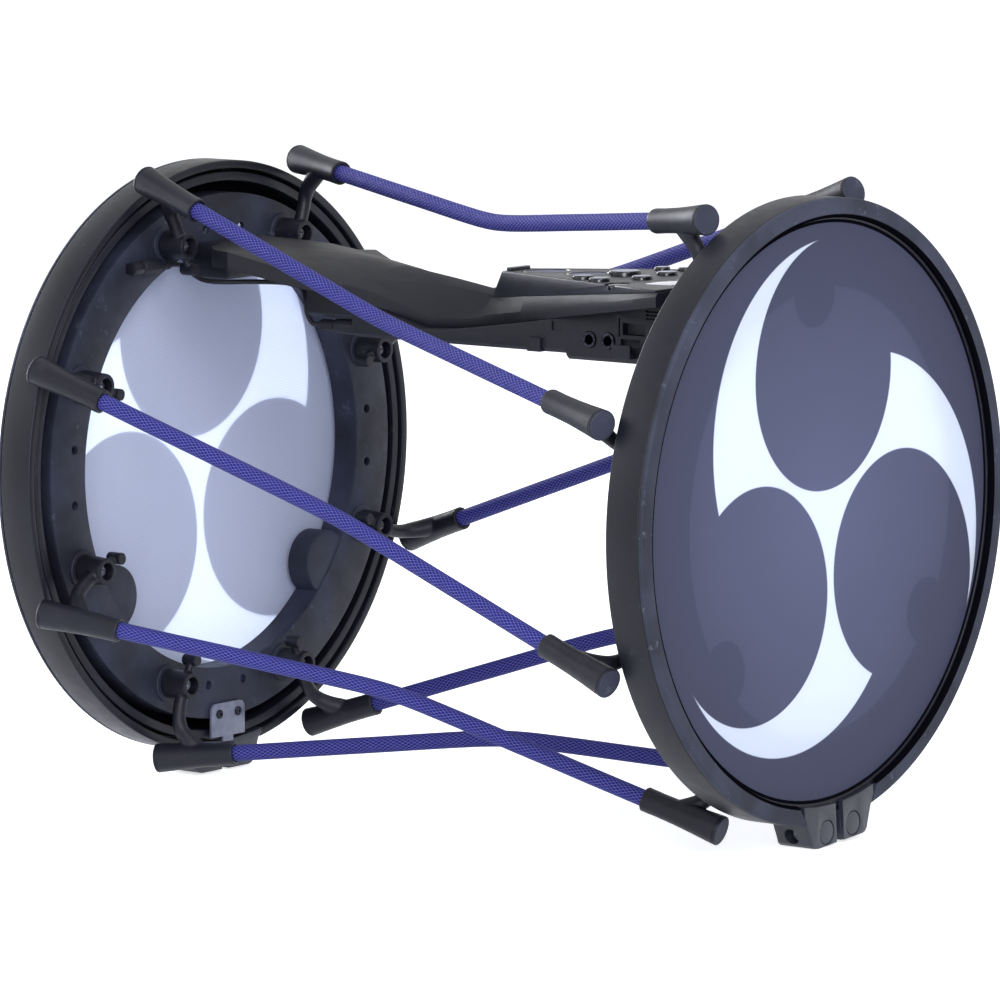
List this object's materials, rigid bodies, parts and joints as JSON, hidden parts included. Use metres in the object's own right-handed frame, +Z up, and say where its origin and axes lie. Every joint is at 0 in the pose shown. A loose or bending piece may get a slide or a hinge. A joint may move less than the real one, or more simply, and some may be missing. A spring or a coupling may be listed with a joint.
{
  "type": "electronic percussion pad",
  "caption": "Double-headed electronic drum: two round pads on one axis, joined by an arm with a control panel and by ropes held in tubular hooks.",
  "frame": {"origin": "middle of the length, on the floor under the pads' axis", "axes": "+X along the pads' axis towards the pad on the control panel's side, +Z up"},
  "size_m": [0.507, 0.3986, 0.4069],
  "materials": {
    "black_moulding": "black moulded plastic, satin",
    "painted_hoop": "black painted band, semi-gloss",
    "soft_rubber": "matt black rubber",
    "mesh_skin": "two-ply woven mesh with a printed three-comma pattern",
    "rope": "indigo braided rope",
    "clear_plate": "pale translucent plastic",
    "steel": "plated steel",
    "panel_plastic": "fine matt black plastic",
    "key_rubber": "grey key rubber",
    "window": "clear bright display window"
  },
  "bodies": {
    "base": {"arm_chassis": "black_moulding", "arm_cover": "black_moulding", "control_panel": "panel_plastic", "cord_hook": "soft_rubber", "display_window": "window", "jack_1": "steel", "jack_2": "steel", "left_bracket": "black_moulding", "left_clamp_bolt": "steel", "left_frame": "black_moulding", "left_head": "mesh_skin", "left_hook_1": "black_moulding", "left_hook_2": "black_moulding", "left_hook_3": "black_moulding", "left_hook_4": "black_moulding", "left_hook_5": "black_moulding", "left_hook_6": "black_moulding", "left_hook_7": "black_moulding", "left_hook_8": "black_moulding", "left_hoop": "painted_hoop", "left_rim": "soft_rubber", "left_tab_plate": "clear_plate", "pad_plug": "soft_rubber", "pad_socket": "black_moulding", "right_bracket": "black_moulding", "right_clamp_bolt": "steel", "right_frame": "black_moulding", "right_head": "mesh_skin", "right_hook_1": "black_moulding", "right_hook_2": "black_moulding", "right_hook_3": "black_moulding", "right_hook_4": "black_moulding", "right_hook_5": "black_moulding", "right_hook_6": "black_moulding", "right_hook_7": "black_moulding", "right_hook_8": "black_moulding", "right_hoop": "painted_hoop", "right_rim": "soft_rubber", "right_tab_plate": "clear_plate", "rope_1": "rope", "rope_2": "rope", "rope_3": "rope", "rope_4": "rope", "rope_5": "rope", "rope_6": "rope", "rope_7": "rope", "rope_8": "rope", "sensor_cable": "soft_rubber", "sensor_plug": "soft_rubber"},
    "round_button_1": {"round_button_1": "key_rubber"},
    "round_button_2": {"round_button_2": "key_rubber"},
    "volume_knob": {"volume_knob": "key_rubber"},
    "button_1": {"button_1": "key_rubber"},
    "button_2": {"button_2": "key_rubber"},
    "button_3": {"button_3": "key_rubber"},
    "button_4": {"button_4": "key_rubber"},
    "button_5": {"button_5": "key_rubber"},
    "button_6": {"button_6": "key_rubber"},
    "recessed_button": {"recessed_button": "key_rubber"},
    "tip_button": {"tip_button": "key_rubber"}
  },
  "joints": [
    {"name": "round_button_1_press", "type": "slide", "parent": "base", "child": "round_button_1", "axis": [0.0187, 0, -0.9998], "range_m": [0, 0.001], "stiffness_N_per_m": 600, "springref_m": -0.001},
    {"name": "round_button_2_press", "type": "slide", "parent": "base", "child": "round_button_2", "axis": [0.0187, 0, -0.9998], "range_m": [0, 0.001], "stiffness_N_per_m": 600, "springref_m": -0.001},
    {"name": "volume_turn", "type": "hinge", "parent": "base", "child": "volume_knob", "pos_m": [0.1, -0.003, 0.34487], "axis": [-0.0187, 0, 0.9998], "range_deg": [-150, 150]},
    {"name": "button_1_press", "type": "slide", "parent": "base", "child": "button_1", "axis": [0.0187, 0, -0.9998], "range_m": [0, 0.001], "stiffness_N_per_m": 400, "springref_m": -0.001},
    {"name": "button_2_press", "type": "slide", "parent": "base", "child": "button_2", "axis": [0.0187, 0, -0.9998], "range_m": [0, 0.001], "stiffness_N_per_m": 400, "springref_m": -0.001},
    {"name": "button_3_press", "type": "slide", "parent": "base", "child": "button_3", "axis": [0.0187, 0, -0.9998], "range_m": [0, 0.001], "stiffness_N_per_m": 400, "springref_m": -0.001},
    {"name": "button_4_press", "type": "slide", "parent": "base", "child": "button_4", "axis": [0.0187, 0, -0.9998], "range_m": [0, 0.001], "stiffness_N_per_m": 400, "springref_m": -0.001},
    {"name": "button_5_press", "type": "slide", "parent": "base", "child": "button_5", "axis": [0.0187, 0, -0.9998], "range_m": [0, 0.001], "stiffness_N_per_m": 400, "springref_m": -0.001},
    {"name": "button_6_press", "type": "slide", "parent": "base", "child": "button_6", "axis": [0.0187, 0, -0.9998], "range_m": [0, 0.001], "stiffness_N_per_m": 400, "springref_m": -0.001},
    {"name": "recessed_button_press", "type": "slide", "parent": "base", "child": "recessed_button", "axis": [0.0187, 0, -0.9998], "range_m": [0, 0.001], "stiffness_N_per_m": 400, "springref_m": -0.001},
    {"name": "tip_button_press", "type": "slide", "parent": "base", "child": "tip_button", "axis": [0.0187, 0, -0.9998], "range_m": [0, 0.001], "stiffness_N_per_m": 400, "springref_m": -0.001}
  ]
}
